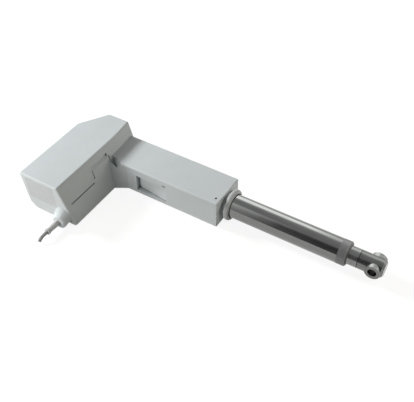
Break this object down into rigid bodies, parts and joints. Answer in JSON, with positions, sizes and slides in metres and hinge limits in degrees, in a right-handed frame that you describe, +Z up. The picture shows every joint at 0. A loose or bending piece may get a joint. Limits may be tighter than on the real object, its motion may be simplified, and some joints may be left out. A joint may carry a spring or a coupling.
{
  "type": "electric linear actuator",
  "caption": "L-shaped electric linear actuator: a worm-geared motor in a moulded housing drives a spindle that pushes a steel tube with an eye out of a polished outer tube.",
  "frame": {"origin": "centre of the rear eye's bore, on the spindle axis", "axes": "+X along the spindle towards the rod end, +Y along both eye bores, away from the motor, +Z up, away from the resting face"},
  "size_m": [0.5203, 0.2203, 0.0654],
  "materials": {
    "housing_plastic": "fine-grained light grey moulding",
    "collar_plastic": "smooth grey moulding",
    "polished_tube": "polished",
    "satin_ring": "satin",
    "seal_rubber": "matt",
    "rod_steel": "ground",
    "cast_alloy": "as cast",
    "steel": "machined",
    "bronze": "sintered",
    "gear_plastic": "smooth",
    "magnet": "matt",
    "carbon": "matt",
    "copper": "enamelled",
    "board": "lacquered",
    "dark_plastic": "smooth",
    "cable_jacket": "smooth"
  },
  "bodies": {
    "frame": {"motor_cover": "housing_plastic", "gearbox_base": "housing_plastic", "spindle_housing": "housing_plastic", "front_collar": "collar_plastic", "outer_tube": "polished_tube", "guide_bush": "satin_ring", "wiper_seal": "seal_rubber", "gear_case": "cast_alloy", "tube_adapter": "cast_alloy", "motor_can": "steel", "motor_end_cap": "dark_plastic", "motor_magnets": "magnet", "motor_brushes": "carbon", "motor_bushes": "bronze", "worm_end_bearing": "steel", "spindle_bearing_rear": "steel", "spindle_bearing_front": "steel", "limit_switch_board": "board", "limit_switches": "dark_plastic", "motor_screws": "steel", "housing_screws": "steel", "cable_gland": "housing_plastic", "cable_boot": "cable_jacket", "cable": "cable_jacket"},
    "spindle": {"lead_screw": "steel", "worm_wheel": "gear_plastic", "wheel_key": "steel", "spindle_clip": "steel", "spindle_guide_disc": "gear_plastic"},
    "rotor": {"worm_shaft": "steel", "armature_core": "steel", "armature_windings": "copper", "commutator": "copper"},
    "push_rod": {"push_tube": "rod_steel", "drive_nut": "bronze", "nut_slide_ring": "gear_plastic", "rod_end": "rod_steel", "rod_end_pin": "steel"}
  },
  "joints": [
    {"name": "tube_slide", "type": "slide", "parent": "frame", "child": "push_rod", "axis": [1, 0, 0], "range_m": [0, 0.25]},
    {"name": "spindle_spin", "type": "hinge", "parent": "frame", "child": "spindle", "pos_m": [0.058, 0, 0], "axis": [1, 0, 0], "continuous": true},
    {"name": "motor_spin", "type": "hinge", "parent": "frame", "child": "rotor", "pos_m": [0.058, 0, 0.018], "axis": [0, 1, 0], "continuous": true}
  ],
  "couplings": [
    {"joint": "spindle_spin", "follows": "tube_slide", "rad_per_m": -1047.2},
    {"joint": "motor_spin", "follows": "tube_slide", "rad_per_m": -10472}
  ]
}
